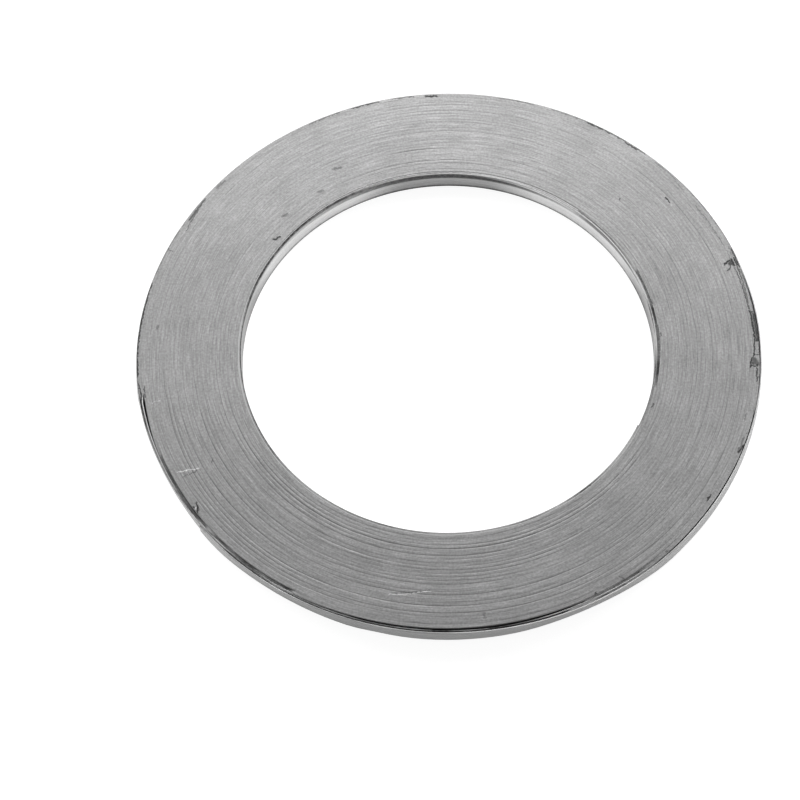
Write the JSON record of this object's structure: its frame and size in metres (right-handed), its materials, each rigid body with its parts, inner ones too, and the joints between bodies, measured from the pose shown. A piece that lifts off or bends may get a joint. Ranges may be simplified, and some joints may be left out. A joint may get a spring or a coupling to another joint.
{
  "type": "spiral wound gasket",
  "caption": "Flat ring gasket wound on edge from V-section steel strip and graphite tape, for sealing a pipe flange joint.",
  "frame": {"origin": "centre of the lower sealing face, on the axis of the bore", "axes": "+Z along the axis of the bore, upward from the lower face; +X towards the end of the graphite tape"},
  "size_m": [0.121, 0.121, 0.0045],
  "materials": {
    "stainless_strip": "rolled, bright on the flanks of the V, cut edges dull",
    "flexible_graphite": "pressed grey graphite with a low satin sheen and fine concentric turn lines"
  },
  "bodies": {
    "root": {"steel_strip": "stainless_strip", "graphite_filler": "flexible_graphite"}
  },
  "joints": []
}
